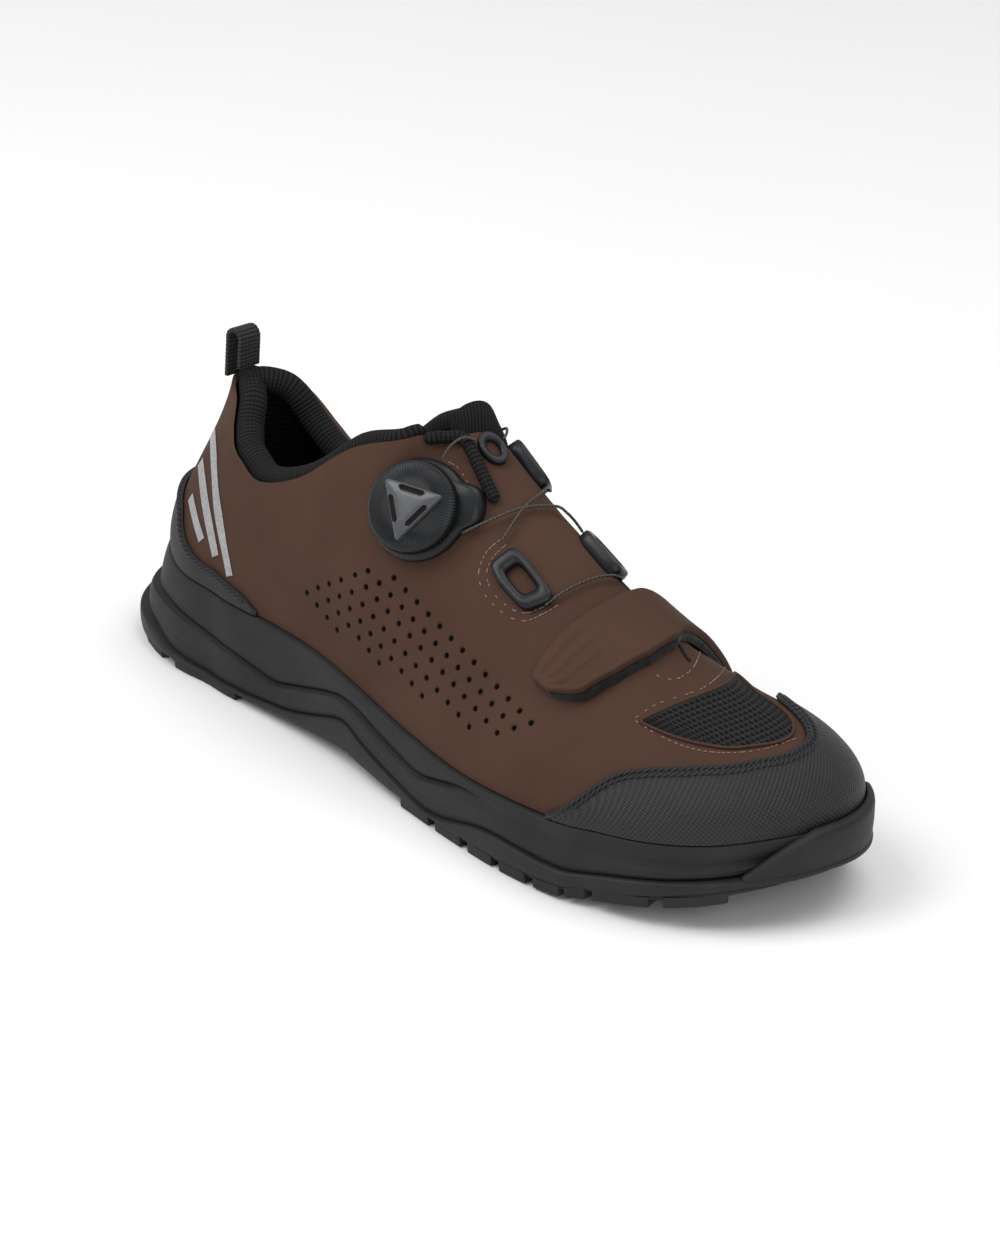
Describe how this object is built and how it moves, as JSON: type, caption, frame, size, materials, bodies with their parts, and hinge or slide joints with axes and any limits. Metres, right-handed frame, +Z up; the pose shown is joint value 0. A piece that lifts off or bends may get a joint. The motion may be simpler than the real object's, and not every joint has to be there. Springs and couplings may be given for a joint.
{
  "type": "cycling shoe",
  "caption": "Low brown and black cycling shoe for off-road riding, with a hollow moulded upper, a lace dial, a strap over the forefoot and a lugged stepped sole.",
  "frame": {"origin": "on the floor, under the middle of the box round the whole shoe", "axes": "+X towards the toe, +Y towards the inner side of the foot, -Y the outer side, +Z up; the shoe stands on its sole"},
  "size_m": [0.307, 0.1056, 0.1195],
  "materials": {
    "brown_microfibre": "matte",
    "black_rubber": "matte",
    "black_foam": "matte",
    "black_overlay": "satin",
    "black_knit": "matte",
    "black_plastic": "satin",
    "cable": "satin"
  },
  "bodies": {
    "root": {"collar_lining": "black_knit", "dial_base": "black_plastic", "dial_knob": "black_plastic", "guide_inner_lower": "black_plastic", "guide_inner_upper": "black_plastic", "guide_outer_lower": "black_plastic", "guide_outer_upper": "black_plastic", "heel_counter": "black_overlay", "insole": "black_knit", "lace_crossing": "cable", "lace_dial_run": "cable", "lace_lower_run": "cable", "lace_upper_run": "cable", "midsole": "black_foam", "outsole": "black_rubber", "pull_loop": "black_knit", "strap": "brown_microfibre", "strap_pad": "black_knit", "throat_binding": "black_knit", "toe_cap": "black_overlay", "tongue": "black_knit", "upper": "brown_microfibre"}
  },
  "joints": []
}
